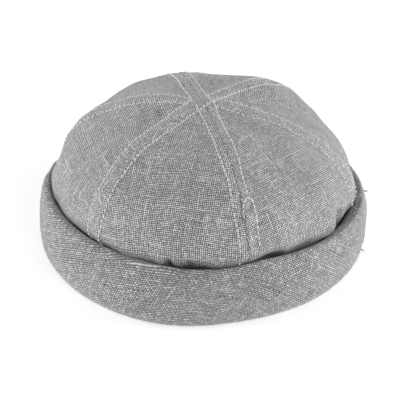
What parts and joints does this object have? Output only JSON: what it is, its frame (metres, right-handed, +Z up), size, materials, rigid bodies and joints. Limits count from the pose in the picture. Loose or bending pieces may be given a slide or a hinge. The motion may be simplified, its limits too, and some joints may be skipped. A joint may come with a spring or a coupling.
{
  "type": "docker beanie",
  "caption": "Soft brimless linen cap: a low dome of sewn gores that meet at the top, with a wide soft cuff turned up round its lower edge.",
  "frame": {"origin": "on the surface that the cap rests on, under the middle of its outline", "axes": "+Z up through the crown, -Y to the front, +X to the right as seen from the front"},
  "size_m": [0.1992, 0.2078, 0.094],
  "materials": {
    "crown_linen": "matt woven linen, grey with pale and dark slubs",
    "cuff_linen": "matt woven linen cut on the bias, grey with pale and dark slubs",
    "thread": "pale grey sewing thread"
  },
  "bodies": {
    "root": {"gore_front_right": "crown_linen", "gore_right": "crown_linen", "gore_back_right": "crown_linen", "gore_back_left": "crown_linen", "gore_left": "crown_linen", "gore_front_left": "crown_linen", "cuff": "cuff_linen"}
  },
  "joints": []
}
